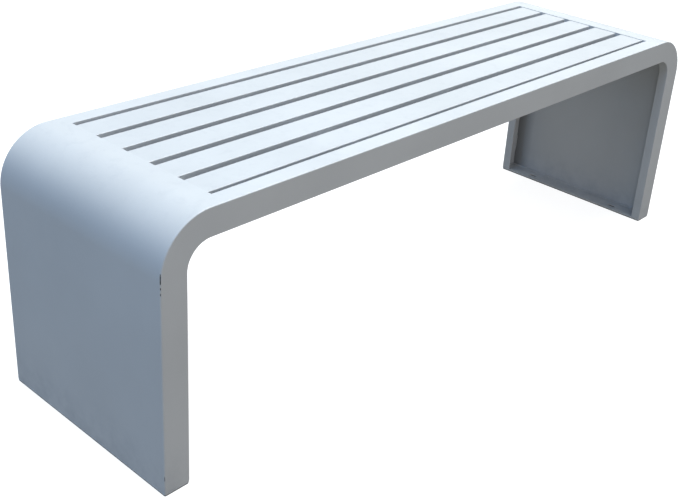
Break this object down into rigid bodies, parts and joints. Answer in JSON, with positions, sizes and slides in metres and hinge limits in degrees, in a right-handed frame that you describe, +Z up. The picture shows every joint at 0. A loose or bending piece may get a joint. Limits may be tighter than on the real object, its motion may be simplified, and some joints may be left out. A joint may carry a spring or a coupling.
{
  "type": "garden bench",
  "caption": "Backless waterfall garden bench: a folded steel sheet forms legs and rim, with U-shaped side plates, slatted seat and bolt-down slotted feet.",
  "frame": {"origin": "middle of the footprint, on the floor that the foot pads rest on", "axes": "+X along the bench's length, to the sitter's left when facing -Y; +Y towards the rear; -Y is the front; +Z up"},
  "size_m": [1.45, 0.4, 0.45],
  "materials": {
    "frame_coat": "satin silver-grey powder coat",
    "slat_coat": "satin silver-grey powder coat",
    "pad_rubber": "matt black rubber"
  },
  "bodies": {
    "root": {"outer_skin": "frame_coat", "front_fascia": "frame_coat", "rear_fascia": "frame_coat", "front_lip": "frame_coat", "rear_lip": "frame_coat", "front_rim_bar": "frame_coat", "rear_rim_bar": "frame_coat", "slat_ledge_left": "frame_coat", "slat_ledge_right": "frame_coat", "bearer_left": "frame_coat", "bearer_centre": "frame_coat", "bearer_right": "frame_coat", "slat_1": "slat_coat", "slat_2": "slat_coat", "slat_3": "slat_coat", "slat_4": "slat_coat", "slat_5": "slat_coat", "foot_plate_left": "frame_coat", "foot_plate_right": "frame_coat", "foot_pad_left": "pad_rubber", "foot_pad_right": "pad_rubber"}
  },
  "joints": []
}
